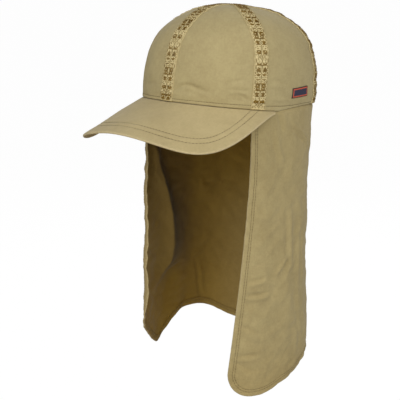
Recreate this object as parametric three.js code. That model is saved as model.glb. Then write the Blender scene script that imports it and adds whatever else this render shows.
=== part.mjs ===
// A legionnaire cap: a six-panel cloth crown with a woven tape over each seam, a stiffened peak,
// a long neck flap that hangs from the rim, and a small woven label on the wearer's left side.
//
// Millimetres. +Z up, -Y forwards over the peak, +X to the wearer's left. The origin is the middle
// of the head opening, at the height of the rim's middle. The cap sits as it is worn, so its rim
// leans back by rimTilt and the flap hangs straight down under its own weight.
import * as THREE from "three";

// Head opening, measured on the outside of the crown's lower edge
const rimHalfWidth = 83.5;
const rimFrontReach = 91;
const rimBackReach = 111;
const rimSquareness = 2.19; // exponent of the rim's superellipse, 2 is an ellipse
const rimTilt = 8; // degrees, front edge up

// Crown
const crownHeight = 106;
const frontFullness = 0.6; // exponent of the meridian's height, low is a crown with upright walls
const backFullness = 0.4;
const crownTopRounding = 0.98; // exponent of the meridian's width, low is a broad top
const backPinch = 0.02; // how far the rim is drawn in at the back, as a share of the radius
const pinchHeight = 0.28; // share of the crown's height over which the pinch fades
const crownCloth = 1.5;
const seamAngles = [0, 66, 124, 180, 236, 294]; // degrees round from the front, towards +X
const seamGap = 0.3;
const poleOpening = 1.2; // radius left free where the six panels' points meet

// Woven tapes over the seams
const tapeWidth = 15;
const tapeThickness = 0.8;
const layGap = 0.3; // clearance under whatever lies on the crown

// Peak
const peakEndAngle = 84;
const peakLength = 74.5;
const peakFlare = 29.3;
const peakRoundness = 2.11; // exponent of the outer edge's superellipse
const peakDrop = 23;
const peakArch = 15.4;
const peakLean = 0.9; // degrees, the wearer's right side up
const peakThickness = 2.6;
const peakInset = 0.9 * crownCloth; // how far its inner edge reaches under the crown's wall
const peakEndShare = 0.97; // the peak's points stop a little short of nothing

// Neck flap
const flapCloth = 1.2;
const flapDrop = 304; // from the rim's middle to the lowest level of the table below
const flapTuck = 6; // height of the top edge inside the crown
const tuckGap = 0.5; // clearance between the tucked edge and the crown's inside
const flapInset = crownCloth + tuckGap;
const flapEmerge = 14; // drop over which the cloth comes out flush with the crown
const hemWidth = 8;
const hemThickness = 2.2;
const hemStep = 1; // width over which the hem's fold thins to single cloth
const cornerRadius = 26;

// Label
const labelWidth = 30;
const labelHeight = 10.5;
const labelThickness = 0.9;
const labelAngle = 102; // degrees round from the front
const labelUp = 19.5; // height of its middle above the rim, along the cloth
const labelTurn = 4; // degrees

// Horizontal sections of the flap, from the rim down. Widths and reaches are shares of the rim's.
const flapLevels = [
  { down: 0.0, width: 1.0, front: 1.0, back: 1.0, edgeAngle: 62.0 },
  { down: 0.25, width: 1.055, front: 0.96, back: 0.935, edgeAngle: 57.5 },
  { down: 0.5, width: 1.1, front: 0.93, back: 0.87, edgeAngle: 51.5 },
  { down: 0.75, width: 1.145, front: 0.92, back: 0.82, edgeAngle: 44.5 },
  { down: 1.0, width: 1.175, front: 0.925, back: 0.79, edgeAngle: 38.0 },
];

// Height of the flap's lower edge round the head, as a share of flapDrop
const hemLine = [
  { angle: 38, left: 1.0, right: 0.84 },
  { angle: 50, left: 1.0, right: 0.89 },
  { angle: 62, left: 0.998, right: 0.94 },
  { angle: 72, left: 0.99, right: 0.978 },
  { angle: 81, left: 0.977, right: 1.0 },
  { angle: 88, left: 0.967, right: 0.98 },
  { angle: 94, left: 0.958, right: 0.932 },
  { angle: 102, left: 0.948, right: 0.902 },
  { angle: 114, left: 0.935, right: 0.885 },
  { angle: 126, left: 0.922, right: 0.885 },
  { angle: 140, left: 0.92, right: 0.908 },
  { angle: 156, left: 0.945, right: 0.95 },
  { angle: 180, left: 0.96, right: 0.96 },
];

// Soft folds of the hanging flap. Angle and halfAngle are degrees round the head, positive on the
// wearer's left; from and to are shares of the drop; depth is outwards, in shares of the half width.
const flapFolds = [
  { angle: 96, halfAngle: 7, from: 0.0, to: 0.35, depth: 0.02 },
  { angle: 112, halfAngle: 10, from: 0.05, to: 1.2, depth: 0.022 },
  { angle: 138, halfAngle: 9, from: 0.2, to: 1.2, depth: 0.03 },
  { angle: 165, halfAngle: 10, from: 0.3, to: 1.2, depth: 0.03 },
  { angle: -100, halfAngle: 9, from: 0.2, to: 1.2, depth: -0.035 },
  { angle: -128, halfAngle: 8, from: 0.35, to: 1.2, depth: 0.04 },
  { angle: -152, halfAngle: 10, from: 0.3, to: 1.2, depth: -0.03 },
];

// Shallow dents in the crown. Up is a share of its height, depth a share of the rim's half width.
const crownDents = [
  { angle: 20, halfAngle: 13, up: 0.13, halfUp: 0.045, depth: 0.018 },
  { angle: 54, halfAngle: 8, up: 0.09, halfUp: 0.04, depth: 0.014 },
  { angle: 78, halfAngle: 8, up: 0.2, halfUp: 0.05, depth: 0.012 },
  { angle: -24, halfAngle: 11, up: 0.14, halfUp: 0.05, depth: 0.015 },
];

const radians = THREE.MathUtils.degToRad;
const lerp = THREE.MathUtils.lerp;
const smoothstep = THREE.MathUtils.smoothstep;

// Reads a table at a value of its key column, with a smooth curve through the rows.
function tableAt(table, key, column, value) {
  const last = table.length - 1;
  let row = 0;
  while (row < last - 1 && value > table[row + 1][key]) row++;
  const span = table[row + 1][key] - table[row][key];
  const t = THREE.MathUtils.clamp((value - table[row][key]) / span, 0, 1);
  const slope = (index) => {
    const before = table[Math.max(0, index - 1)];
    const after = table[Math.min(last, index + 1)];
    return ((after[column] - before[column]) / (after[key] - before[key])) * span;
  };
  const [a, b] = [table[row][column], table[row + 1][column]];
  const [ma, mb] = [slope(row), slope(row + 1)];
  const t2 = t * t;
  const t3 = t2 * t;
  return (2 * t3 - 3 * t2 + 1) * a + (t3 - 2 * t2 + t) * ma + (3 * t2 - 2 * t3) * b + (t3 - t2) * mb;
}

// A point of the rim's superellipse, angle in degrees from the front.
function ovalPoint(angle, halfWidth, frontReach, backReach) {
  const across = Math.sin(radians(angle));
  const along = Math.cos(radians(angle));
  const reach = along > 0 ? frontReach : backReach;
  const size = (Math.abs(across) ** rimSquareness + Math.abs(along) ** rimSquareness) ** (-1 / rimSquareness);
  return new THREE.Vector2(halfWidth * size * across, -reach * size * along);
}

// Distance from one angle to another round the head, in degrees, from -180 to 180.
function angleBetween(angle, other) {
  return ((angle - other + 540) % 360) - 180;
}

// Length along the crown from the rim to the pole, and the share of it that a turn has climbed.
const meridianSteps = 120;
const meridian = [{ share: 0, turn: 0 }];
for (let i = 1; i <= meridianSteps; i++) {
  const turn = (i / meridianSteps) * (Math.PI / 2);
  const middle = turn - Math.PI / meridianSteps / 4;
  const fullness = (frontFullness + backFullness) / 2;
  const climb = crownHeight * (Math.sin(turn) ** fullness - Math.sin(meridian[i - 1].turn) ** fullness);
  const inwards = (rimHalfWidth * Math.sin(middle) * Math.PI) / meridianSteps / 2;
  meridian.push({ share: meridian[i - 1].share + Math.hypot(climb, inwards), turn });
}
const meridianLength = meridian[meridianSteps].share;
for (const row of meridian) row.share /= meridianLength;

function turnAt(share) {
  const wanted = THREE.MathUtils.clamp(share, 0, 1);
  let i = 1;
  while (i < meridianSteps && meridian[i].share < wanted) i++;
  const [a, b] = [meridian[i - 1], meridian[i]];
  return lerp(a.turn, b.turn, (wanted - a.share) / (b.share - a.share));
}

// Outside of the crown, in the tilted rim's own frame. Along is the share of the meridian's length.
function crownSurface(angle, along) {
  const turn = turnAt(along);
  const backward = (1 - Math.cos(radians(angle))) / 2;
  const up = Math.sin(turn) ** lerp(frontFullness, backFullness, backward);
  const out = Math.max(0, Math.cos(turn)) ** crownTopRounding;
  const fade = Math.max(0, 1 - up / pinchHeight) ** 2;
  const pinch = backPinch * backward;
  const oval = ovalPoint(angle, rimHalfWidth, rimFrontReach, rimBackReach).multiplyScalar(out * (1 - pinch * fade));
  let dent = 0;
  for (const row of crownDents) {
    const across = angleBetween(angle, row.angle) / row.halfAngle;
    const tall = (up - row.up) / row.halfUp;
    dent += row.depth * rimHalfWidth * Math.exp(-across * across - tall * tall);
  }
  const radius = Math.max(oval.length(), 1e-6);
  oval.multiplyScalar((radius - dent) / radius);
  return new THREE.Vector3(oval.x, oval.y, up * crownHeight);
}

// A point at a distance outwards from the crown's outside.
function crownPoint(angle, along, outwards) {
  const step = 1e-3;
  const here = Math.min(along, 1 - 2 * step);
  const across = crownSurface(angle + 0.2, here).sub(crownSurface(angle - 0.2, here));
  const upwards = crownSurface(angle, here + step).sub(crownSurface(angle, Math.max(0, here - step)));
  const normal = across.cross(upwards).normalize();
  return crownSurface(angle, along).addScaledVector(normal, outwards);
}

// A point of the tilted rim in the cap's frame, set in by inset and raised by up.
function rimPoint(angle, inset, up) {
  const along = Math.max(0, up) / meridianLength;
  const point = crownPoint(angle, along, -inset);
  if (up < 0) point.z += up;
  return point.applyAxisAngle(new THREE.Vector3(1, 0, 0), -radians(rimTilt));
}

// Degrees round the crown that take up a length along its surface.
function degreesFor(length, angle, along) {
  return (2 * length) / crownSurface(angle + 1, along).distanceTo(crownSurface(angle - 1, along));
}

// Makes one closed solid between two grids of points, both running up and round the same way.
function solidBetween(outside, inside) {
  const rows = outside.length;
  const columns = outside[0].length;
  const count = rows * columns;
  const positions = [];
  for (const grid of [outside, inside]) {
    for (const line of grid) for (const point of line) positions.push(point.x, point.y, point.z);
  }
  const outer = (r, c) => r * columns + c;
  const inner = (r, c) => count + r * columns + c;
  const index = [];
  const quad = (a, b, c, d) => index.push(a, b, c, a, c, d);
  for (let r = 0; r < rows - 1; r++) {
    for (let c = 0; c < columns - 1; c++) {
      quad(outer(r, c), outer(r, c + 1), outer(r + 1, c + 1), outer(r + 1, c));
      quad(inner(r, c), inner(r + 1, c), inner(r + 1, c + 1), inner(r, c + 1));
    }
  }
  for (let c = 0; c < columns - 1; c++) {
    quad(outer(0, c), inner(0, c), inner(0, c + 1), outer(0, c + 1));
    quad(outer(rows - 1, c), outer(rows - 1, c + 1), inner(rows - 1, c + 1), inner(rows - 1, c));
  }
  for (let r = 0; r < rows - 1; r++) {
    quad(outer(r, 0), outer(r + 1, 0), inner(r + 1, 0), inner(r, 0));
    quad(outer(r, columns - 1), inner(r, columns - 1), inner(r + 1, columns - 1), outer(r + 1, columns - 1));
  }
  const geometry = new THREE.BufferGeometry();
  geometry.setAttribute("position", new THREE.Float32BufferAttribute(positions, 3));
  geometry.setIndex(index);
  geometry.computeVertexNormals();
  return geometry;
}

function makePiece(name, geometry, material) {
  const mesh = new THREE.Mesh(geometry, material);
  mesh.name = name;
  return mesh;
}

const cottonTwill = new THREE.MeshStandardMaterial({ color: 0xaa9c70, roughness: 0.92, metalness: 0 });
const wovenTape = new THREE.MeshStandardMaterial({ color: 0xa98d4e, roughness: 0.85, metalness: 0 });
const labelWeave = new THREE.MeshStandardMaterial({ color: 0x2b2f4a, roughness: 0.8, metalness: 0 });

// Shares of the meridian at which panels and tapes have a row of points, closer near the pole.
const crownRows = [];
const crownRowCount = 15;
for (let r = 0; r <= crownRowCount; r++) {
  const towardsPole = 1 - (1 - r / crownRowCount) ** 1.3;
  crownRows.push((1 - poleOpening / meridianLength) * towardsPole);
}

// One crown panel between two seams, from the rim to the pole.
const panelColumns = 9;
function makePanel(name, fromAngle, toAngle) {
  const surface = (outwards) => {
    const grid = [];
    for (const along of crownRows) {
      const line = [];
      for (let c = 0; c <= panelColumns; c++) {
        const low = fromAngle + degreesFor(seamGap / 2, fromAngle, along);
        const high = toAngle - degreesFor(seamGap / 2, toAngle, along);
        line.push(crownPoint(lerp(low, high, c / panelColumns), along, outwards));
      }
      grid.push(line);
    }
    return grid;
  };
  return makePiece(name, solidBetween(surface(0), surface(-crownCloth)), cottonTwill);
}

// One tape over a seam. Near the pole its sides are mitred against the neighbouring tapes.
const tapeColumns = 4;
function makeTape(name, seam) {
  const count = seamAngles.length;
  const before = angleBetween(seamAngles[(seam + count - 1) % count], seamAngles[seam]);
  const after = angleBetween(seamAngles[(seam + 1) % count], seamAngles[seam]);
  const surface = (outwards) => {
    const grid = [];
    for (const along of crownRows) {
      const mitre = degreesFor(seamGap, seamAngles[seam], along);
      const half = degreesFor(tapeWidth / 2, seamAngles[seam], along);
      const line = [];
      for (let c = 0; c <= tapeColumns; c++) {
        const low = Math.max(-half, before / 2 + mitre);
        const high = Math.min(half, after / 2 - mitre);
        line.push(crownPoint(seamAngles[seam] + lerp(low, high, c / tapeColumns), along, outwards));
      }
      grid.push(line);
    }
    return grid;
  };
  const geometry = solidBetween(surface(layGap + tapeThickness), surface(layGap));
  return makePiece(name, geometry, wovenTape);
}

// Outer edge of the peak, share from -1 at the wearer's right end to 1 at the left end.
function peakEdge(share) {
  const turn = radians(90 * share);
  const front = rimPoint(0, 0, 0);
  const end = rimPoint(peakEndAngle, 0, 0);
  const across = Math.abs(Math.sin(turn));
  const x = Math.sign(share) * end.x * across ** (2 / peakRoundness) + peakFlare * Math.sin(2 * turn);
  const reach = end.y - (front.y - peakLength);
  const y = end.y - reach * Math.cos(turn) ** (2 / peakRoundness);
  const middleHeight = front.z - peakDrop;
  const rise = end.z - middleHeight;
  const fall = 2 * peakArch + 2 * Math.sqrt(peakArch * peakArch + peakArch * rise);
  const arch = middleHeight - fall * across ** 2 + (rise + fall) * across ** 4;
  return new THREE.Vector3(x, y, arch - x * Math.sin(radians(peakLean)) * Math.cos(turn));
}

function peakSurface(share, out) {
  const inner = rimPoint(peakEndAngle * share, peakInset, -seamGap);
  return inner.lerp(peakEdge(share), out);
}

const peakColumns = 32;
const peakRows = 6;
function makePeak() {
  const top = [];
  const underside = [];
  for (let r = 0; r <= peakRows; r++) {
    const out = r / peakRows;
    const topLine = [];
    const lowLine = [];
    for (let c = 0; c <= peakColumns; c++) {
      const share = peakEndShare * (1 - (2 * c) / peakColumns);
      const across = peakSurface(share + 0.01, out).sub(peakSurface(share - 0.01, out));
      const outwards = peakSurface(share, 1).sub(peakSurface(share, 0));
      const normal = outwards.cross(across).normalize();
      if (normal.z < 0) normal.negate();
      const point = peakSurface(share, out);
      // Along the rim the cloth is cut straight down, so that its edge stays clear of the flap.
      const down = out === 0 ? new THREE.Vector3(0, 0, -1) : normal.negate();
      topLine.push(point);
      lowLine.push(point.clone().addScaledVector(down, peakThickness));
    }
    top.push(topLine);
    underside.push(lowLine);
  }
  return makePiece("peak", solidBetween(top, underside), cottonTwill);
}

// Share of the drop at which the flap's hem lies, at an angle round the head.
function hemShare(angle) {
  const side = angle <= 180 ? "left" : "right";
  return tableAt(hemLine, "angle", side, angle <= 180 ? angle : 360 - angle);
}

// Outside of the hanging flap. Round goes from 0 at the left front edge to 1 at the right one, and
// down is the share of the drop.
function flapSurface(round, down) {
  const edge = tableAt(flapLevels, "down", "edgeAngle", down);
  const angle = lerp(edge, 360 - edge, round);
  const tucked = Math.max(0, 1 - (down * flapDrop) / flapEmerge) ** 2;
  const top = rimPoint(angle, flapInset * tucked, 0);
  const reach = top.y < 0 ? "front" : "back";
  const oval = new THREE.Vector2(
    top.x * tableAt(flapLevels, "down", "width", down),
    top.y * tableAt(flapLevels, "down", reach, down),
  );
  let fold = 0;
  for (const row of flapFolds) {
    const across = angleBetween(angle, row.angle) / row.halfAngle;
    const grown = smoothstep(down, row.from, lerp(row.from, row.to, 0.5));
    const gone = 1 - smoothstep(down, lerp(row.from, row.to, 0.5), row.to);
    fold += row.depth * rimHalfWidth * Math.exp(-across * across) * grown * (row.to > 1 ? 1 : gone);
  }
  const radius = oval.length();
  oval.multiplyScalar((radius + fold) / radius);
  return new THREE.Vector3(oval.x, oval.y, lerp(top.z, -flapDrop, down));
}

function flapNormal(round, down) {
  const step = 0.004;
  const across = flapSurface(Math.min(1, round + step), down).sub(flapSurface(Math.max(0, round - step), down));
  const downwards = flapSurface(round, down + step).sub(flapSurface(round, down));
  return downwards.cross(across).normalize();
}

// Length of the flap's lowest level, from one front edge round the back to the other.
function flapLength() {
  const steps = 72;
  let length = 0;
  for (let i = 1; i <= steps; i++) {
    length += flapSurface(i / steps, 1).distanceTo(flapSurface((i - 1) / steps, 1));
  }
  return length;
}

// Distances round from a front edge at which the corner and the hem need a line of points.
const cornerShares = [0, 0.05, 0.17, 0.55, 0.78, 1];
const cornerLines = cornerShares.map((share) => share * cornerRadius);
cornerLines.push(hemWidth, hemWidth + hemStep);
cornerLines.sort((a, b) => a - b);

const flapColumns = 34;
const flapRows = 15;
function makeFlap() {
  const ringLength = flapLength();
  const edges = cornerLines.map((distance) => distance / ringLength);
  const rounds = [...edges];
  const cornerRound = cornerRadius / ringLength;
  for (let c = 1; c < flapColumns; c++) rounds.push(lerp(cornerRound, 1 - cornerRound, c / flapColumns));
  for (const edge of [...edges].reverse()) rounds.push(1 - edge);

  const outside = [];
  const inside = [];
  const columns = rounds.map((round) => {
    const distance = Math.min(round, 1 - round) * ringLength;
    const away = Math.max(0, cornerRadius - distance);
    const rise = cornerRadius - Math.sqrt(cornerRadius ** 2 - away ** 2);
    const steep = away / Math.max(1, cornerRadius - rise);
    const edge = tableAt(flapLevels, "down", "edgeAngle", 1);
    const bottom = hemShare(lerp(edge, 360 - edge, round)) - rise / flapDrop;
    const hem = (hemWidth * Math.min(2, Math.sqrt(1 + steep * steep))) / flapDrop;
    const fold = hemStep / flapDrop;
    const downs = [0];
    for (let r = 1; r <= flapRows; r++) downs.push(((bottom - hem - fold) * r) / flapRows);
    downs.push(bottom - hem, bottom - hem / 2, bottom);
    return { round, distance, downs };
  });
  const rowCount = columns[0].downs.length;
  const hemRows = 3;
  const tuckOutside = [];
  const tuckInside = [];
  for (const { round } of columns) {
    const edge = flapLevels[0].edgeAngle;
    const angle = lerp(edge, 360 - edge, round);
    tuckOutside.push(rimPoint(angle, flapInset, flapTuck));
    tuckInside.push(rimPoint(angle, flapInset + flapCloth, flapTuck));
  }
  outside.push(tuckOutside);
  inside.push(tuckInside);
  for (let r = 0; r < rowCount; r++) {
    const outerLine = [];
    const innerLine = [];
    for (const { round, distance, downs } of columns) {
      const point = flapSurface(round, downs[r]);
      const inHem = r >= rowCount - hemRows || distance <= hemWidth;
      const thickness = inHem ? hemThickness : flapCloth;
      outerLine.push(point);
      innerLine.push(point.clone().addScaledVector(flapNormal(round, downs[r]), -thickness));
    }
    outside.push(outerLine);
    inside.push(innerLine);
  }
  return makePiece("neck_flap", solidBetween(inside, outside), cottonTwill);
}

// The woven label, a thin plate bent to the crown.
function makeLabel() {
  const [columns, rows] = [6, 3];
  const turn = radians(labelTurn);
  const surface = (outwards) => {
    const grid = [];
    for (let r = 0; r <= rows; r++) {
      const line = [];
      for (let c = 0; c <= columns; c++) {
        const x = labelWidth * (c / columns - 0.5);
        const y = labelHeight * (r / rows - 0.5);
        const round = x * Math.cos(turn) - y * Math.sin(turn);
        const up = labelUp + x * Math.sin(turn) + y * Math.cos(turn);
        const along = up / meridianLength;
        line.push(crownPoint(labelAngle + degreesFor(round, labelAngle, along), along, outwards));
      }
      grid.push(line);
    }
    return grid;
  };
  return makePiece("side_label", solidBetween(surface(layGap + labelThickness), surface(layGap)), labelWeave);
}

const panelNames = ["front_left", "side_left", "back_left", "back_right", "side_right", "front_right"];
const tapeNames = ["front", "side_left", "rear_left", "back", "rear_right", "side_right"];

const crown = new THREE.Group();
crown.rotation.x = -radians(rimTilt);
seamAngles.forEach((angle, i) => {
  const next = i + 1 < seamAngles.length ? seamAngles[i + 1] : 360;
  crown.add(makePanel(`panel_${panelNames[i]}`, angle, next));
  crown.add(makeTape(`tape_${tapeNames[i]}`, i));
});
crown.add(makeLabel());

const cap = new THREE.Group();
cap.add(crown);
cap.add(makePeak());
cap.add(makeFlap());

export default cap;
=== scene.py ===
import math

import bpy
import numpy as np
from mathutils import Matrix, Vector


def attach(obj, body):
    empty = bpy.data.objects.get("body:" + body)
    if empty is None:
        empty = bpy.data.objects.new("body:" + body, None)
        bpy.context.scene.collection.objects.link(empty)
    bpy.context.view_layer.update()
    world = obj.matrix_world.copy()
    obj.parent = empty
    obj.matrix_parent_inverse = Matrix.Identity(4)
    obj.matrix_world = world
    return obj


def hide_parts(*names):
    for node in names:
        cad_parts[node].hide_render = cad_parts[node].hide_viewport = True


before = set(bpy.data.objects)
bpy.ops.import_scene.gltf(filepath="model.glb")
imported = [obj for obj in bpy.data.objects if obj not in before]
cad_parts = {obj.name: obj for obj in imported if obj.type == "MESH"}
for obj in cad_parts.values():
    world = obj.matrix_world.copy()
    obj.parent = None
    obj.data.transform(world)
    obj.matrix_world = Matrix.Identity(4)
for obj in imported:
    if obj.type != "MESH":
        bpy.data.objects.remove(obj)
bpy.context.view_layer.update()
scene = bpy.context.scene

# Camera
# The cap is seen from the wearer's left of the front, a little above it and about a metre away,
# through a short telephoto lens.
camera_turn = math.radians(42.76)
camera_rise = math.radians(14.69)
camera_distance = 0.9996
looked_at = Vector((-0.0195, -0.01803, -0.10927))

camera_back = Vector((
    math.sin(camera_turn) * math.cos(camera_rise),
    -math.cos(camera_turn) * math.cos(camera_rise),
    math.sin(camera_rise),
))
camera_right = Vector((math.cos(camera_turn), math.sin(camera_turn), 0))
camera_up = camera_back.cross(camera_right)
camera_data = bpy.data.cameras.new("camera")
camera_data.sensor_width = 36
camera_data.lens = 79.89
camera_data.clip_end = 100
camera = bpy.data.objects.new("camera", camera_data)
turned = Matrix((camera_right, camera_up, camera_back)).transposed().to_4x4()
camera.matrix_world = Matrix.Translation(looked_at + camera_back * camera_distance) @ turned
scene.collection.objects.link(camera)
scene.camera = camera
scene.view_settings.view_transform = "Standard"


# Studio
# A plain white floor well below the cap, and soft light: large lamps high and low on the picture's
# left and right, one behind the cap for its other views, and a dim pale room around them.
def make_floor(height, reach):
    corners = 96
    ring = [
        (reach * math.cos(2 * math.pi * i / corners), reach * math.sin(2 * math.pi * i / corners), height)
        for i in range(corners)
    ]
    mesh = bpy.data.meshes.new("floor")
    mesh.from_pydata(ring, [], [list(range(corners))])
    floor = bpy.data.objects.new("floor", mesh)
    scene.collection.objects.link(floor)
    return floor


def add_node(tree, kind, **settings):
    """A new node, with its settings set by name and its inputs' values by number, as in_0 or in_1."""
    made = tree.nodes.new(kind)
    for name, value in settings.items():
        if name.startswith("in_"):
            made.inputs[int(name[3:])].default_value = value
        else:
            setattr(made, name, value)
    return made


def new_material(name):
    """An empty material and its node tree."""
    material = bpy.data.materials.new(name)
    material.use_nodes = True
    material.node_tree.nodes.clear()
    return material, material.node_tree


def white_paint():
    material, tree = new_material("white_floor")
    paint = add_node(tree, "ShaderNodeBsdfPrincipled")
    paint.inputs["Base Color"].default_value = (0.62, 0.62, 0.62, 1)
    paint.inputs["Roughness"].default_value = 0.9
    glow = add_node(tree, "ShaderNodeEmission")
    glow.inputs["Color"].default_value = (1, 1, 1, 1)
    glow.inputs["Strength"].default_value = 1.06
    seen = add_node(tree, "ShaderNodeLightPath")
    share = add_node(tree, "ShaderNodeMath", operation="MULTIPLY", in_1=0.92)
    mix = add_node(tree, "ShaderNodeMixShader")
    out = add_node(tree, "ShaderNodeOutputMaterial")
    tree.links.new(seen.outputs["Is Camera Ray"], share.inputs[0])
    tree.links.new(share.outputs[0], mix.inputs[0])
    tree.links.new(paint.outputs[0], mix.inputs[1])
    tree.links.new(glow.outputs[0], mix.inputs[2])
    tree.links.new(mix.outputs[0], out.inputs["Surface"])
    return material


floor_height = -0.62
floor_reach = 40
floor = make_floor(floor_height, floor_reach)
floor.data.materials.append(white_paint())


def hang_lamp(name, side, front, height, size, power):
    """A square white lamp aimed at the cap, placed in metres from the point the camera looks at.
    Side is to the picture's right and front is towards the camera."""
    data = bpy.data.lights.new(name, "AREA")
    data.shape = "SQUARE"
    data.size = size
    data.energy = power
    lamp = bpy.data.objects.new(name, data)
    level_back = Vector((camera_back.x, camera_back.y, 0)).normalized()
    place = looked_at + camera_right * side + level_back * front + Vector((0, 0, height))
    lamp.matrix_world = (place - looked_at).to_track_quat("Z", "Y").to_matrix().to_4x4()
    lamp.location = place
    scene.collection.objects.link(lamp)
    return lamp


hang_lamp("left_lamp", -1.1, 1.2, 1.2, 1.0, 9.3)
hang_lamp("right_lamp", 0.6, 1.3, 1.1, 1.0, 11.0)
hang_lamp("low_right_lamp", 1.4, 0.8, 0.5, 1.0, 6.6)
hang_lamp("low_left_lamp", -0.9, 1.4, 0.3, 1.0, 7.9)
hang_lamp("back_lamp", 0.3, -1.6, 0.9, 1.2, 7.0)

room = bpy.data.worlds.new("room")
room.use_nodes = True
room.node_tree.nodes["Background"].inputs[0].default_value = (1, 1, 1, 1)
room.node_tree.nodes["Background"].inputs[1].default_value = 0.2
scene.world = room

# Crown panels
# Six gores of cotton twill, sewn edge to edge so that the crown stands in a smooth dome. Each is
# one closed piece with a turned lower edge; the rows of its mesh climb from the rim to the pole.
rim_half_width = 83.5
rim_front_reach = 91
rim_back_reach = 111
rim_squareness = 2.19
rim_tilt = math.radians(8)
crown_height = 106
seam_angles = [0, 66, 124, 180, 236, 294, 360]
crown_cloth = 1.5
seam_gap = 0.3
pole_opening = 1.2

# Middle angle, half angle, middle height, half height and depth of the crown's shallow dents
crown_dents = [
    (20, 13, 0.13, 0.045, 0.018),
    (54, 8, 0.09, 0.04, 0.014),
    (78, 8, 0.2, 0.05, 0.012),
    (-24, 11, 0.14, 0.05, 0.015),
]


def meridian_table():
    """Share of the way along the cloth from the rim to the pole, at each step of the dome's turn."""
    steps = 120
    turn = np.linspace(0, math.pi / 2, steps + 1)
    climb = np.diff(crown_height * np.sin(turn) ** 0.5)
    inwards = rim_half_width * np.sin(turn[1:] - math.pi / steps / 4) * math.pi / steps / 2
    run = np.concatenate([[0], np.cumsum(np.hypot(climb, inwards))])
    return turn, run / run[-1], run[-1]


dome_turn, dome_share, meridian_length = meridian_table()


def apart(angle, other):
    """Degrees from one angle to another round the head, from -180 to 180."""
    return (angle - other + 540) % 360 - 180


def rim_oval(angle):
    """The crown's lower edge seen from above: an oval, squarer than an ellipse and longer behind."""
    across = np.sin(np.radians(angle))
    ahead = np.cos(np.radians(angle))
    reach = np.where(ahead > 0, rim_front_reach, rim_back_reach)
    size = (np.abs(across) ** rim_squareness + np.abs(ahead) ** rim_squareness) ** (-1 / rim_squareness)
    return rim_half_width * size * across, -reach * size * ahead


def crown_shape(angle, along):
    """Outside of the crown before it is tilted. Along is the share of the way to the pole."""
    turn = np.interp(np.clip(along, 0, 1), dome_share, dome_turn)
    backward = (1 - np.cos(np.radians(angle))) / 2
    up = np.sin(turn) ** (0.6 - 0.2 * backward)
    out = np.maximum(np.cos(turn), 0) ** 0.98
    pinch = 0.02 * backward * np.maximum(0, 1 - up / 0.28) ** 2
    x, y = rim_oval(angle)
    x = x * out * (1 - pinch)
    y = y * out * (1 - pinch)
    dent = 0
    for middle, half, height, half_height, depth in crown_dents:
        off = (apart(angle, middle) / half) ** 2 + ((up - height) / half_height) ** 2
        dent = dent + depth * rim_half_width * np.exp(-off)
    radius = np.maximum(np.hypot(x, y), 1e-6)
    kept = (radius - dent) / radius
    return np.stack(np.broadcast_arrays(x * kept, y * kept, up * crown_height), -1)


def unit(vectors):
    return vectors / np.maximum(np.linalg.norm(vectors, axis=-1, keepdims=True), 1e-12)


def tilt(points):
    """The crown's own frame leans back with the rim."""
    x, y, z = points[..., 0], points[..., 1], points[..., 2]
    c, s = math.cos(rim_tilt), -math.sin(rim_tilt)
    return np.stack([x, y * c - z * s, y * s + z * c], -1)


def crown_normal(angle, along):
    """Outward direction of the crown's cloth before it is tilted."""
    step = 1e-3
    here = np.minimum(along, 1 - 2 * step)
    across = crown_shape(angle + 0.2, here) - crown_shape(angle - 0.2, here)
    upwards = crown_shape(angle, here + step) - crown_shape(angle, np.maximum(0, here - step))
    return unit(np.cross(across, upwards))


def crown_point(angle, along, outwards):
    """A point at a distance outwards from the crown's cloth, in the cap's frame."""
    outwards = np.asarray(outwards, float)[..., None]
    return tilt(crown_shape(angle, along) + crown_normal(angle, along) * outwards)


def millimetres_per_degree(angle, along):
    return np.linalg.norm(crown_shape(angle + 1, along) - crown_shape(angle - 1, along), axis=-1) / 2


def soft_waves(u, v, size, seed, w=None):
    """Uneven soft waves, about one high and size apart, over cloth or a place in millimetres."""
    draw = np.random.default_rng(seed)
    total = 0
    for _ in range(7):
        heading = draw.uniform(0, math.pi)
        length = size * draw.uniform(0.7, 1.7)
        phase = draw.uniform(0, 2 * math.pi)
        run = u * math.cos(heading) + v * math.sin(heading)
        if w is not None:
            climb = draw.uniform(-math.pi / 2, math.pi / 2)
            run = run * math.cos(climb) + w * math.sin(climb)
        total = total + np.sin(run * 2 * math.pi / length + phase)
    return total / 2.6


def rounded(distance, radius, least=0.15):
    """How full the cloth's thickness is, at a distance in from a turned edge."""
    inside = 1 - np.clip(np.asarray(distance, float) / radius, 0, 1)
    return least + (1 - least) * np.sqrt(1 - inside**2)


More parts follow.
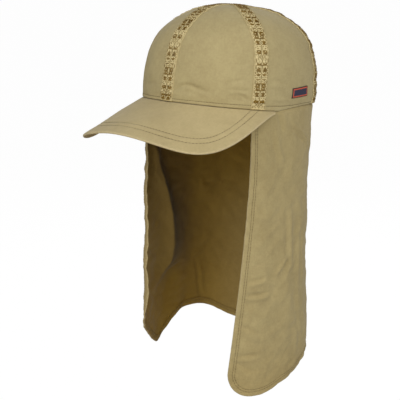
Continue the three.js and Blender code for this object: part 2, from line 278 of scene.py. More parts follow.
def closed_shell(name, outside, inside, cloth, marks):
    """One closed mesh between two grids of points. Cloth gives each grid point its place on the flat
    cloth, and marks are named values at each point, for the outside and the inside."""
    rows, columns = outside.shape[:2]
    count = rows * columns
    verts = np.concatenate([outside.reshape(-1, 3), inside.reshape(-1, 3)]) * 0.001
    index = np.arange(count).reshape(rows, columns)
    a, b, c, d = index[:-1, :-1], index[:-1, 1:], index[1:, 1:], index[1:, :-1]
    faces = [np.stack([a, b, c, d], -1).reshape(-1, 4)]
    faces.append(np.stack([a, d, c, b], -1).reshape(-1, 4) + count)
    for line, flip in ((index[0], 0), (index[-1], 1), (index[:, 0], 1), (index[:, -1], 0)):
        near, far = line[:-1], line[1:]
        rim = np.stack([near, near + count, far + count, far], -1)
        faces.append(rim[:, ::-1] if flip else rim)
    faces = np.concatenate(faces)
    mesh = bpy.data.meshes.new(name)
    mesh.from_pydata(verts.tolist(), [], faces.tolist())
    mesh.shade_smooth()
    uv = mesh.uv_layers.new(name="cloth")
    flat = np.concatenate([cloth.reshape(-1, 2), cloth.reshape(-1, 2)]) * 0.001
    uv.data.foreach_set("uv", flat[faces.ravel()].ravel())
    for mark, (front, back) in marks.items():
        layer = mesh.attributes.new(mark, "FLOAT", "POINT")
        both = [np.broadcast_to(values, (rows, columns)).ravel() for values in (front, back)]
        layer.data.foreach_set("value", np.concatenate(both).astype(np.float32))
    piece = bpy.data.objects.new(name, mesh)
    scene.collection.objects.link(piece)
    return piece


# Creases of the crown's cloth: the points of each, as (degrees, share of the way up), its half
# width and its depth. A crease is a valley with a soft ridge on its right, or the other way round
# where the depth is negative. Creases are drawn in millimetres, at this many to a degree.
crown_degree = 1.62
crown_creases = [
    ([(7, 0.105), (11, 0.134), (15, 0.151), (19, 0.151), (28, 0.122), (33, 0.108)], 2.0, 1.5),
    ([(46, 0.137), (52, 0.14), (59, 0.134)], 1.7, 1.2),
    ([(49, 0.118), (54, 0.1), (60, 0.05)], 1.6, 0.8),
    ([(44, 0.184), (50, 0.2), (58, 0.203)], 1.8, 0.8),
    ([(51, 0.29), (55, 0.31), (59, 0.325)], 1.6, 0.7),
    ([(72, 0.2), (80, 0.195), (90, 0.17)], 2.4, 0.9),
    ([(74, 0.105), (84, 0.1), (95, 0.085)], 2.2, 0.8),
    ([(-8, 0.12), (-16, 0.14), (-26, 0.12)], 2.4, 0.35),
]


def crease_field(u, v, points, half, depth):
    """A valley along a line of points, which fades out at its ends, with a softer ridge beside it."""
    points = np.array(points, float)
    steps = np.diff(points, axis=0)
    lengths = np.hypot(steps[:, 0], steps[:, 1])
    total = lengths.sum()
    nearest, beside, ahead, gone = np.inf, 0, 0, 0
    for point, step, length in zip(points, steps, lengths):
        run = step / length
        here = np.clip((u - point[0]) * run[0] + (v - point[1]) * run[1], 0, length)
        off = np.hypot(u - point[0] - run[0] * here, v - point[1] - run[1] * here)
        side = (u - point[0]) * run[1] - (v - point[1]) * run[0]
        closer = off < nearest
        beside = np.where(closer, np.sign(side) * off, beside)
        ahead = np.where(closer, (gone + here) / total, ahead)
        nearest = np.minimum(nearest, off)
        gone += length
    fade = np.clip(1 - (2 * ahead - 1) ** 2, 0, 1) ** 0.7
    valley = np.exp(-((beside / half) ** 2))
    ridge = np.exp(-(((beside - 1.9 * half) / (1.2 * half)) ** 2))
    return depth * fade * (0.7 * ridge - valley)


# Broad swells of the stuffed crown: angle, half angle, share of the way up, half share, millimetres
crown_swells = [
    (-42, 45, 0.62, 0.17, -2.2),
    (130, 35, 0.08, 0.1, 1.2),
    (130, 35, 0.38, 0.09, -1.2),
    (130, 35, 0.76, 0.12, 1.7),
]

# How far each seam leans round the crown by the time it nears the pole, in degrees
seam_lean = [0, -7, 0, 0, 0, 7, 0]

# Share of the way up past which widths round the crown are no longer measured, so near its pole
near_pole = 0.97


def eased(value, low, high):
    """Rises smoothly from 0 at low to 1 at high."""
    t = np.clip((value - low) / (high - low), 0, 1)
    return t * t * (3 - 2 * t)


def seam_place(seam, along):
    """Angle of a seam at a share of the way up it."""
    return seam_angles[seam] + seam_lean[seam] * eased(np.asarray(along, float), 0.35, 0.8)


def rim_rise(angle):
    """The lower edge climbs behind the ears, this far above the plane of the rim."""
    return 4.2 * eased(np.abs(apart(angle, 0)), 84, 120)


def up_the_crown(angle, climbed):
    """Share of the way from the plane of the rim to the pole, at a height above the lower edge."""
    rise = rim_rise(angle)
    return (rise + climbed * (1 - rise / meridian_length)) / meridian_length


def crumple(u, v, size, seed, w=None):
    """Fine sharp-edged unevenness of washed cloth, about one high."""
    bent = soft_waves(u, v, size * 2.3, seed, w) * size * 0.3
    first = np.abs(soft_waves(u + bent, v, size, seed + 1, w))
    second = np.abs(soft_waves(u, v + bent, size * 0.8, seed + 2, w))
    return 1.2 - first * 0.8 - second * 0.8


def crown_relief(angle, along):
    """How far the sewn cloth stands proud of the smooth crown: seam puckers, soft waves and creases."""
    climbed = along * meridian_length
    x, y, z = np.moveaxis(crown_shape(angle, along), -1, 0)
    relief = 0.35 * soft_waves(x, y, 50, 11, z)
    relief = relief + 0.13 * soft_waves(x, y, 19, 12, z)
    relief = relief + 0.2 * crumple(x, y, 26, 14, z)
    at_the_rim = np.exp(-climbed / 7)
    relief = relief + 0.22 * at_the_rim * soft_waves(x, y, 11, 13, z * 0.3)
    for seam in range(6):
        per_degree = millimetres_per_degree(angle, np.minimum(along, near_pole))
        off = np.abs(apart(angle, seam_place(seam, along))) * per_degree
        pull = np.exp(-((np.maximum(off - 7, 0) / 7) ** 1.3))
        pull = pull * np.clip((meridian_length - climbed) / 30, 0, 1)
        relief = relief + 0.26 * pull * soft_waves(off * 0.35, climbed, 8.5, 20 + seam)
    for middle, half, up, half_up, proud in crown_swells:
        off = (apart(angle, middle) / half) ** 2 + ((along - up) / half_up) ** 2
        relief = relief + proud * np.exp(-off)
    for points, half, depth in crown_creases:
        points = [(degrees * crown_degree, share * meridian_length) for degrees, share in points]
        relief = relief + crease_field(apart(angle, 0) * crown_degree, climbed, points, half, depth)
    return relief


rim_stitch_height = 2.4
panel_rows = [0, 0.1, 0.3, 0.6, 1.0, 1.5, 1.9, 2.15, 2.4, 2.65, 2.9, 3.4, 4.2]
panel_names = ["front_left", "side_left", "back_left", "back_right", "side_right", "front_right"]


def grown_steps(fine, total, step):
    """Distances from an edge: the fine ones first, then even ones out to the total."""
    rest = np.linspace(fine[-1], total, max(2, int(round((total - fine[-1]) / step)) + 1))
    return np.concatenate([fine, rest[1:]])


def make_panel(name, seam):
    climbed = grown_steps(panel_rows, meridian_length - pole_opening, 1.45)
    along = (climbed / meridian_length)[:, None]
    low_seam = seam_place(seam, along)
    high_seam = seam_place(seam + 1, along)
    low = low_seam + seam_gap / 2 / millimetres_per_degree(low_seam, along)
    high = high_seam - seam_gap / 2 / millimetres_per_degree(high_seam, along)
    share = np.linspace(0, 1, 76)[None, :]
    angle = low + (high - low) * share
    up = np.broadcast_to(climbed[:, None], angle.shape)
    along = up_the_crown(angle, up)
    groove = np.exp(-(((up - rim_stitch_height) / 0.35) ** 2))
    full = rounded(up, 0.75)
    relief = crown_relief(angle, along) - 0.3 * groove
    outside = crown_point(angle, along, relief - crown_cloth / 2 * (1 - full))
    turned = 0.35 / (1 + np.exp((up - 9) / 0.35))
    per_degree = millimetres_per_degree(angle, np.minimum(along, near_pole))
    off_seam = np.minimum(angle - low_seam, high_seam - angle) * per_degree
    allowance = 0.45 / (1 + np.exp((off_seam - 8) / 0.5))
    inward = crown_cloth * (0.5 + 0.5 * full) + np.maximum(turned, allowance)
    inside = crown_point(angle, along, relief - inward)
    flat = np.stack([(angle - (low_seam + high_seam) / 2) * millimetres_per_degree(angle, along), up], -1)
    edge = np.exp(-up / 0.6)
    # Painted shade: the stitch groove is darkened, and the whole inside is tinted darker and browner.
    marks = {"painted_shade": (groove, groove * 0.6), "worn_edge": (edge, edge), "painted_shade_tint": (0, 1)}
    piece = closed_shell("twill_" + name, outside, inside, flat, marks)
    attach(piece, "root")
    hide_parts(name)
    return piece


def cloth_group():
    """Twill seen close: slanted ribs, slubs along both yarns, a soft mottle from washing, and painted shade.
    """
    group = bpy.data.node_groups.new("washed_twill", "ShaderNodeTree")
    face = group.interface
    face.new_socket("Cloth", in_out="INPUT", socket_type="NodeSocketVector")
    pitch = face.new_socket("Ribs a metre", in_out="INPUT", socket_type="NodeSocketFloat")
    pitch.default_value = 1250
    face.new_socket("Colour", in_out="INPUT", socket_type="NodeSocketColor")
    face.new_socket("Faded", in_out="INPUT", socket_type="NodeSocketColor")
    face.new_socket("Shaded", in_out="INPUT", socket_type="NodeSocketColor")
    face.new_socket("Colour", in_out="OUTPUT", socket_type="NodeSocketColor")
    face.new_socket("Height", in_out="OUTPUT", socket_type="NodeSocketFloat")
    face.new_socket("Roughness", in_out="OUTPUT", socket_type="NodeSocketFloat")
    inlet = add_node(group, "NodeGroupInput")
    outlet = add_node(group, "NodeGroupOutput")
    link = group.links.new

    parts = add_node(group, "ShaderNodeSeparateXYZ")
    link(inlet.outputs["Cloth"], parts.inputs[0])
    slant = add_node(group, "ShaderNodeMath", operation="ADD")
    link(parts.outputs["X"], slant.inputs[0])
    link(parts.outputs["Y"], slant.inputs[1])

    def ribs(source, scale):
        """A wave from 0 to 1 across one run of yarns."""
        turns = add_node(group, "ShaderNodeMath", operation="MULTIPLY")
        link(source, turns.inputs[0])
        link(inlet.outputs["Ribs a metre"], turns.inputs[1])
        phase = add_node(group, "ShaderNodeMath", operation="MULTIPLY", in_1=2 * math.pi * scale)
        link(turns.outputs[0], phase.inputs[0])
        wave = add_node(group, "ShaderNodeMath", operation="SINE")
        link(phase.outputs[0], wave.inputs[0])
        half = add_node(group, "ShaderNodeMath", operation="MULTIPLY_ADD", in_1=0.5, in_2=0.5)
        link(wave.outputs[0], half.inputs[0])
        return half.outputs[0]

    slanted = ribs(slant.outputs[0], 1.0)
    across = ribs(parts.outputs["X"], 2.0)
    weave = add_node(group, "ShaderNodeMath", operation="MULTIPLY_ADD", in_1=0.3)
    link(across, weave.inputs[0])
    link(slanted, weave.inputs[2])

    def yarn_noise(scale_u, scale_v, detail):
        """Noise drawn out along one run of yarns."""
        stretch = add_node(group, "ShaderNodeMapping")
        stretch.inputs["Scale"].default_value = (scale_u, scale_v, 1)
        link(inlet.outputs["Cloth"], stretch.inputs["Vector"])
        noise = add_node(group, "ShaderNodeTexNoise")
        noise.inputs["Scale"].default_value = 1
        noise.inputs["Detail"].default_value = detail
        link(stretch.outputs[0], noise.inputs["Vector"])
        return noise.outputs["Fac"]

    warp_slubs = yarn_noise(1600, 90, 2)
    weft_slubs = yarn_noise(110, 1500, 2)
    clouds = yarn_noise(30, 26, 4)
    patches = yarn_noise(150, 120, 3)
    specks = yarn_noise(420, 380, 3)

    def weighed(terms, start):
        """Start plus each term, centred on a half and weighed."""
        total = None
        for source, weight in terms:
            part = add_node(group, "ShaderNodeMath", operation="MULTIPLY_ADD", in_1=weight)
            link(source, part.inputs[0])
            if total is None:
                part.inputs[2].default_value = start - 0.5 * sum(w for _, w in terms)
            else:
                link(total, part.inputs[2])
            total = part.outputs[0]
        return total

    yarns = [(warp_slubs, 0.7), (weft_slubs, 0.6)]
    mottle = [(clouds, 1.5), (patches, 1.1), (specks, 1.1), (slanted, 0.22)]
    tone = weighed(yarns + mottle, 0.5)
    held = add_node(group, "ShaderNodeClamp")
    link(tone, held.inputs[0])
    fair = add_node(group, "ShaderNodeMix", data_type="RGBA")
    link(held.outputs[0], fair.inputs["Factor"])
    link(inlet.outputs["Shaded"], fair.inputs[6])
    link(inlet.outputs["Colour"], fair.inputs[7])
    # Painted shade: inside faces, undersides and a few outside spots take a darker, browner tint, lessened
    # where painted light falls.
    painted_shade_tint = add_node(group, "ShaderNodeAttribute", attribute_name="painted_shade_tint")
    base = add_node(group, "ShaderNodeMix", data_type="RGBA", blend_type="MULTIPLY")
    base.inputs[7].default_value = (0.67, 0.5, 0.135, 1)
    link(painted_shade_tint.outputs["Fac"], base.inputs["Factor"])
    link(fair.outputs[2], base.inputs[6])

    worn = add_node(group, "ShaderNodeAttribute", attribute_name="worn_edge")
    uneven = add_node(group, "ShaderNodeMath", operation="MULTIPLY")
    link(worn.outputs["Fac"], uneven.inputs[0])
    link(specks, uneven.inputs[1])
    faded = add_node(group, "ShaderNodeMix", data_type="RGBA")
    link(uneven.outputs[0], faded.inputs["Factor"])
    link(base.outputs[2], faded.inputs[6])
    link(inlet.outputs["Faded"], faded.inputs[7])

    # Painted shade: near black along stitch grooves, hem folds and behind the flap's inner fold.
    sunk = add_node(group, "ShaderNodeAttribute", attribute_name="painted_shade")
    painted_shade_share = add_node(group, "ShaderNodeMath", operation="MULTIPLY", in_1=0.35)
    link(sunk.outputs["Fac"], painted_shade_share.inputs[0])
    dark = add_node(group, "ShaderNodeMix", data_type="RGBA")
    dark.inputs[7].default_value = (0.085, 0.06, 0.025, 1)
    link(painted_shade_share.outputs[0], dark.inputs["Factor"])
    link(faded.outputs[2], dark.inputs[6])
    link(dark.outputs[2], outlet.inputs["Colour"])

    height = weighed([(warp_slubs, 0.5), (weft_slubs, 0.4), (specks, 0.5)], 0.5)
    relief = add_node(group, "ShaderNodeMath", operation="MULTIPLY_ADD", in_1=0.6)
    link(weave.outputs[0], relief.inputs[0])
    link(height, relief.inputs[2])
    link(relief.outputs[0], outlet.inputs["Height"])
    rough = add_node(group, "ShaderNodeMath", operation="MULTIPLY_ADD", in_1=0.12, in_2=0.84)
    link(clouds, rough.inputs[0])
    link(rough.outputs[0], outlet.inputs["Roughness"])
    return group


washed_twill = cloth_group()


def twill_material(name, colour, shaded, faded):
    """Washed twill on one piece, with its own colours."""
    material, tree = new_material(name)
    place = add_node(tree, "ShaderNodeUVMap", uv_map="cloth")
    cloth = add_node(tree, "ShaderNodeGroup", node_tree=washed_twill)
    cloth.inputs["Colour"].default_value = (*colour, 1)
    cloth.inputs["Shaded"].default_value = (*shaded, 1)
    cloth.inputs["Faded"].default_value = (*faded, 1)
    bump = add_node(tree, "ShaderNodeBump")
    bump.inputs["Strength"].default_value = 0.5
    bump.inputs["Distance"].default_value = 0.0002
    paint = add_node(tree, "ShaderNodeBsdfPrincipled")
    paint.inputs["Specular IOR Level"].default_value = 0.25
    paint.inputs["Sheen Weight"].default_value = 0.12
    paint.inputs["Sheen Roughness"].default_value = 0.5
    out = add_node(tree, "ShaderNodeOutputMaterial")
    tree.links.new(place.outputs[0], cloth.inputs["Cloth"])
    tree.links.new(cloth.outputs["Colour"], paint.inputs["Base Color"])
    tree.links.new(cloth.outputs["Roughness"], paint.inputs["Roughness"])
    tree.links.new(cloth.outputs["Height"], bump.inputs["Height"])
    tree.links.new(bump.outputs[0], paint.inputs["Normal"])
    tree.links.new(paint.outputs[0], out.inputs["Surface"])
    return material


crown_twill = twill_material("crown_twill", (0.463, 0.38, 0.187), (0.39, 0.31, 0.147), (0.545, 0.455, 0.24))
for number, panel_name in enumerate(panel_names):
    panel = make_panel("panel_" + panel_name, number)
    panel.data.materials.append(crown_twill)

# Woven tapes
# A patterned ribbon 17 mm wide, topstitched along both selvedges over each of the six seams and
# mitred where the six meet. Its ground is straw-coloured cotton; brown weft floats make the pattern.
tape_width = 17
tape_thickness = 0.8
tape_lift = 0.12
tape_names = ["front", "side_left", "rear_left", "back", "rear_right", "side_right"]

# The pattern's chart, one line for each row of floats from the rim up. A mark is a brown float one
# cell wide, and marks that touch are woven as one longer float.
tape_chart = """
.######.######.
#######.#######
.#####.#.#####.
#.####.#.####.#
#..#...#...#..#
#......#......#
###############
.######.######.
.##..##.##..##.
#..#...#...#..#
#......#......#
#..#...#...#..#
#.#...#.#...#.#
...#.#.#.#.#...
....#..#..#....
...#.#.#.#.#...
#.#...#.#...#.#
.######.######.
#######.#######
.##.###.###.##.
.######.######.
.......#.......
..##...#...##..
#......#......#
..#..#.#.#..#..
.......#.......
.######.######.
#.####.#.####.#
.#####.#.#####.
.######.######.
#..#...#...#..#
#......#......#
###############
.######.######.
#.##.##.##.##.#
.######.######.
#######.#######
.##.###.###.##.
.######.######.
###############
#..#...#...#..#
#.#..#.#.#..#.#
#..#...#...#..#
.######.######.
.......#.......
#.#..#.#.#..#.#
.......#.......
#.####.#.####.#
.######.######.
#..#...#...#..#
#.#..#.#.#..#.#
""".split()
float_pitch = 0.97
float_row = 1.02
selvedge_line = tape_width / 2 - 0.7


def tape_reach(seam, along):
    """Degrees to each side of a seam that its tape covers, less where neighbours mitre it."""
    here = seam_place(seam, along)
    per_degree = millimetres_per_degree(here, along)
    half = tape_width / 2 / per_degree
    mitre = seam_gap / per_degree
    before = apart(here, seam_place((seam - 1) % 6, along))
    after = apart(seam_place((seam + 1) % 6, along), here)
    return -np.minimum(half, before / 2 - mitre), np.minimum(half, after / 2 - mitre), per_degree


def tape_point(seam, across, climbed, outwards):
    """A point on a tape, across its width and up its length in millimetres."""
    along = up_the_crown(seam_angles[seam], np.asarray(climbed, float))
    angle = seam_place(seam, along)
    angle = angle + across / millimetres_per_degree(angle, along)
    return crown_point(angle, along, crown_relief(angle, along) + outwards)


def tape_sag(across):
    """The ribbon lies lower along its stitched selvedges and in its middle."""
    off = np.abs(across)
    return -0.3 * np.exp(-(((off - selvedge_line) / 0.45) ** 2)) - 0.12 * np.exp(-((off / 0.6) ** 2))


# Shares of the width at which the ribbon's mesh has its lines, closer by its stitched selvedge
tape_lines = [0, 0.006, 0.015, 0.025, 0.033, 0.041, 0.05, 0.062, 0.09, 0.15, 0.23, 0.32, 0.4, 0.46, 0.49]


def make_tape(name, seam):
    climbed = grown_steps([0, 0.1, 0.3, 0.6, 1.0], meridian_length - pole_opening, 1.1)[:, None]
    low, high, per_degree = tape_reach(seam, climbed / meridian_length)
    share = np.concatenate([tape_lines, [0.5], 1 - np.array(tape_lines[::-1])])[None, :]
    across = (low + (high - low) * share) * per_degree
    up = np.broadcast_to(climbed, across.shape)
    full = np.minimum(rounded(tape_width / 2 - np.abs(across), 0.35, 0.3), rounded(up, 0.4, 0.3))
    rib = 0.035 * np.sin(up * 2 * math.pi / 2.2)
    outside = tape_point(seam, across, up, tape_lift + tape_thickness * full + tape_sag(across) + rib)
    inside = tape_point(seam, across, up, tape_lift)
    groove = np.exp(-(((np.abs(across) - selvedge_line) / 0.3) ** 2))
    flat = np.stack([across, up], -1)
    # Painted shade along the stitched selvedges.
    piece = closed_shell("ribbon_" + name, outside, inside, flat, {"painted_shade": (groove, 0)})
    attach(piece, "root")
    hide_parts("tape_" + name)
    return piece


yarn_stations = np.array([0, 0.14, 0.5, 0.86, 1])


def yarn_lengths(name, routes, ups, width, height, sides=6, sink=0.12):
    """One mesh of short lengths of yarn. Each route is five points on the cloth, one for each of the
    yarn's stations, and the ends of each length dive into the cloth."""
    forward = unit(routes[:, -1] - routes[:, 0])
    side = unit(np.cross(ups, forward))
    over = np.cross(forward, side)
    swell = np.array([0.3, 0.85, 1, 0.85, 0.3])
    lift = np.array([-sink, 0.32 * height, 0.5 * height, 0.32 * height, -sink])
    turn = 2 * math.pi * (np.arange(sides) + 0.5) / sides
    sideways = np.cos(turn)[None, :] * swell[:, None] * width / 2
    upwards = np.sin(turn)[None, :] * swell[:, None] * height / 2 + lift[:, None]
    rings = routes[:, :, None] + side[:, None, None] * sideways[None, :, :, None]
    rings = rings + over[:, None, None] * upwards[None, :, :, None]
    count, per = len(routes), 5 * sides
    quads = []
    for station in range(4):
        for k in range(sides):
            a, b = station * sides + k, station * sides + (k + 1) % sides
            quads.append([a, b, b + sides, a + sides])
    first = np.arange(count)[:, None, None] * per
    faces = (np.array(quads)[None] + first).reshape(-1, 4).tolist()
    ends_of = [list(range(sides))[::-1], [4 * sides + k for k in range(sides)]]
    for i in range(count):
        faces += [[i * per + k for k in ring] for ring in ends_of]
    mesh = bpy.data.meshes.new(name)
    mesh.from_pydata((rings.reshape(-1, 3) * 0.001).tolist(), [], faces)
    mesh.shade_smooth()
    piece = bpy.data.objects.new(name, mesh)
    scene.collection.objects.link(piece)
    return piece


def stitches_along(points, ups, pitch, length):
    """Routes and upward directions of stitches spaced evenly along a line of points."""
    run = np.concatenate([[0], np.cumsum(np.linalg.norm(np.diff(points, axis=0), axis=1))])
    count = int(run[-1] // pitch)
    starts_at = (np.arange(count) + 0.15) * run[-1] / count

    def at(distance, values):
        return np.stack([np.interp(distance, run, values[:, k]) for k in range(3)], -1)

    routes = np.stack([at(starts_at + length * station, points) for station in yarn_stations], 1)
    return routes, unit(at(starts_at + length / 2, ups))


def sewn(name, lines, pitch, length, width, height):
    """Stitches along several lines, each one its points and upward directions, as one piece."""
    parts = [stitches_along(points, ups, pitch, length) for points, ups in lines]
    return yarn_lengths(name, *(np.concatenate(x) for x in zip(*parts)), width, height)


def float_runs(seam):
    """Starts and ends of the brown floats, read from the chart, for one tape."""
    starts, ends = [], []
    cells = len(tape_chart[0])
    rows = int((meridian_length - pole_opening - 2) // float_row)
    for row in range(rows):
        climbed = 0.8 + row * float_row
        low, high, per_degree = tape_reach(seam, np.float64(climbed / meridian_length))
        line = tape_chart[(row + 11 * seam) % len(tape_chart)]
        cell = 0
        while cell < cells:
            stop = cell
            while stop < cells and line[stop] == "#":
                stop += 1
            if stop > cell:
                left = max((cell - cells / 2) * float_pitch + 0.06, low * per_degree + 0.6)
                right = min((stop - cells / 2) * float_pitch - 0.06, high * per_degree - 0.6)
                if right - left > 0.5:
                    starts.append((left, climbed))
                    ends.append((right, climbed))
            cell = max(stop, cell + 1)
    return np.array(starts), np.array(ends)


def make_floats(name, seam):
    starts, ends = float_runs(seam)
    across = starts[:, :1] + (ends - starts)[:, :1] * yarn_stations
    climbed = np.broadcast_to(starts[:, 1:], across.shape)
    top = tape_lift + tape_thickness + tape_sag(across) * 0.6
    routes = tape_point(seam, across, climbed, top)
    above = tape_point(seam, across[:, 2], climbed[:, 2], top[:, 2] + 1)
    piece = yarn_lengths(name, routes, above - routes[:, 2], 1.12, 0.48, sides=4, sink=0.02)
    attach(piece, "root")
    return piece


def ribbon_material():
    """Straw-coloured ribbed cotton, a little darker between its ribs."""
    material, tree = new_material("straw_ribbon")
    place = add_node(tree, "ShaderNodeUVMap", uv_map="cloth")
    parts = add_node(tree, "ShaderNodeSeparateXYZ")
    turns = add_node(tree, "ShaderNodeMath", operation="MULTIPLY", in_1=2 * math.pi / 0.00102)
    wave = add_node(tree, "ShaderNodeMath", operation="SINE")
    half = add_node(tree, "ShaderNodeMath", operation="MULTIPLY_ADD", in_1=0.5, in_2=0.5)
    noise = add_node(tree, "ShaderNodeTexNoise")
    noise.inputs["Scale"].default_value = 420
    noise.inputs["Detail"].default_value = 3
    tone = add_node(tree, "ShaderNodeMath", operation="MULTIPLY_ADD", in_1=0.35)
    base = add_node(tree, "ShaderNodeMix", data_type="RGBA")
    base.inputs[6].default_value = (0.34, 0.265, 0.11, 1)
    base.inputs[7].default_value = (0.76, 0.63, 0.33, 1)
    # Painted shade darkens the ribbon along its stitched selvedges.
    sunk = add_node(tree, "ShaderNodeAttribute", attribute_name="painted_shade")
    painted_shade_share = add_node(tree, "ShaderNodeMath", operation="MULTIPLY", in_1=0.5)
    dark = add_node(tree, "ShaderNodeMix", data_type="RGBA")
    dark.inputs[7].default_value = (0.16, 0.105, 0.035, 1)
    bump = add_node(tree, "ShaderNodeBump")
    bump.inputs["Strength"].default_value = 0.6
    bump.inputs["Distance"].default_value = 0.0003
    paint = add_node(tree, "ShaderNodeBsdfPrincipled")
    paint.inputs["Roughness"].default_value = 0.8
    paint.inputs["Specular IOR Level"].default_value = 0.3
    out = add_node(tree, "ShaderNodeOutputMaterial")
    link = tree.links.new
    link(place.outputs[0], parts.inputs[0])
    link(place.outputs[0], noise.inputs["Vector"])
    link(parts.outputs["Y"], turns.inputs[0])
    link(turns.outputs[0], wave.inputs[0])
    link(wave.outputs[0], half.inputs[0])
    link(half.outputs[0], tone.inputs[0])
    link(noise.outputs["Fac"], tone.inputs[2])
    link(tone.outputs[0], base.inputs["Factor"])
    link(sunk.outputs["Fac"], painted_shade_share.inputs[0])
    link(painted_shade_share.outputs[0], dark.inputs["Factor"])
    link(base.outputs[2], dark.inputs[6])
    link(dark.outputs[2], paint.inputs["Base Color"])
    link(half.outputs[0], bump.inputs["Height"])
    link(bump.outputs[0], paint.inputs["Normal"])
    link(paint.outputs[0], out.inputs["Surface"])
    return material


def yarn_material(name, dark, light, scale=300):
    """Spun yarn: its colour drifts along the cloth, with fine fibre noise."""
    material, tree = new_material(name)
    place = add_node(tree, "ShaderNodeTexCoord")
    noise = add_node(tree, "ShaderNodeTexNoise")
    noise.inputs["Scale"].default_value = scale
    noise.inputs["Detail"].default_value = 4
    ramp = add_node(tree, "ShaderNodeMix", data_type="RGBA")
    ramp.inputs[6].default_value = (*dark, 1)
    ramp.inputs[7].default_value = (*light, 1)
    spread = add_node(tree, "ShaderNodeMapRange")
    spread.inputs["From Min"].default_value = 0.3
    spread.inputs["From Max"].default_value = 0.7
    fibre = add_node(tree, "ShaderNodeTexNoise")
    fibre.inputs["Scale"].default_value = 5200
    bump = add_node(tree, "ShaderNodeBump")
    bump.inputs["Strength"].default_value = 0.4
    bump.inputs["Distance"].default_value = 0.0001
    paint = add_node(tree, "ShaderNodeBsdfPrincipled")
    paint.inputs["Roughness"].default_value = 0.75
    paint.inputs["Specular IOR Level"].default_value = 0.3
    out = add_node(tree, "ShaderNodeOutputMaterial")
    link = tree.links.new
    link(place.outputs["Object"], noise.inputs["Vector"])
    link(place.outputs["Object"], fibre.inputs["Vector"])
    link(noise.outputs["Fac"], spread.inputs["Value"])
    link(spread.outputs[0], ramp.inputs["Factor"])
    link(ramp.outputs[2], paint.inputs["Base Color"])
    link(fibre.outputs["Fac"], bump.inputs["Height"])
    link(bump.outputs[0], paint.inputs["Normal"])
    link(paint.outputs[0], out.inputs["Surface"])
    return material


straw_ribbon = ribbon_material()
brown_yarn = yarn_material("brown_yarn", (0.122, 0.065, 0.006), (0.26, 0.15, 0.018))
straw_thread = yarn_material("straw_thread", (0.4, 0.32, 0.15), (0.56, 0.46, 0.25))


def selvedge_lines(seam):
    """The two stitch lines of one tape, stopped short of the mitred end."""
    lines = []
    for side in (-1, 1):
        climbed = np.linspace(0.8, meridian_length - 14, 160)
        across = np.full_like(climbed, selvedge_line * side)
        low = tape_point(seam, across, climbed, np.full_like(climbed, tape_lift + tape_thickness - 0.3))
        high = tape_point(seam, across, climbed, np.full_like(climbed, tape_lift + tape_thickness + 0.7))
        lines.append((low, high - low))
    return lines


for seam, tape_name in enumerate(tape_names):
    tape = make_tape(tape_name, seam)
    tape.data.materials.append(straw_ribbon)
    floats = make_floats("tape_pattern_" + tape_name, seam)
    floats.data.materials.append(brown_yarn)
    threads = sewn("tape_stitches_" + tape_name, selvedge_lines(seam), 2.9, 2.2, 0.45, 0.35)
    threads.data.materials.append(straw_thread)
    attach(threads, "root")

# Side label
# A small woven label on the wearer's left, its edges folded under and sewn down all round. It is
# a plain navy satin with a narrow red-orange woven border.
label_width = 30
label_height = 10.5
label_thickness = 0.9
label_angle = 102
label_up = 19.5
label_turn = math.radians(4)


def label_point(x, y, outwards):
    """A point on the label, from its middle along and up, over the crown's cloth."""
    round_it = x * math.cos(label_turn) - y * math.sin(label_turn)
    along = (label_up + x * math.sin(label_turn) + y * math.cos(label_turn)) / meridian_length
    angle = label_angle + round_it / millimetres_per_degree(np.float64(label_angle), along)
    return crown_point(angle, along, crown_relief(angle, along) + outwards)


def make_label():
    edge = np.array([0, 0.08, 0.2, 0.4, 0.65, 0.95, 1.1, 1.3, 1.6, 1.9, 2.2])
    x = np.concatenate([edge, np.linspace(2.2, label_width - 2.2, 44)[1:-1], label_width - edge[::-1]])
    y = np.concatenate([edge, np.linspace(2.2, label_height - 2.2, 14)[1:-1], label_height - edge[::-1]])
    x, y = np.meshgrid(x, y)
    inward = np.minimum(np.minimum(x, label_width - x), np.minimum(y, label_height - y))
    full = rounded(inward, 0.5, 0.25)
    sewn_down = 0.22 * np.exp(-(((inward - 1.0) / 0.3) ** 2))
    satin = 0.03 * np.sin(y * 2 * math.pi / 0.9) * (inward > 2)
    top = 0.08 + label_thickness * full - sewn_down + satin
    outside = label_point(x - label_width / 2, y - label_height / 2, top)
    inside = label_point(x - label_width / 2, y - label_height / 2, np.full_like(x, 0.06))
    piece = closed_shell("woven_label", outside, inside, np.stack([x, y], -1), {"inward": (inward, inward)})
    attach(piece, "root")
    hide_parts("side_label")
    return piece


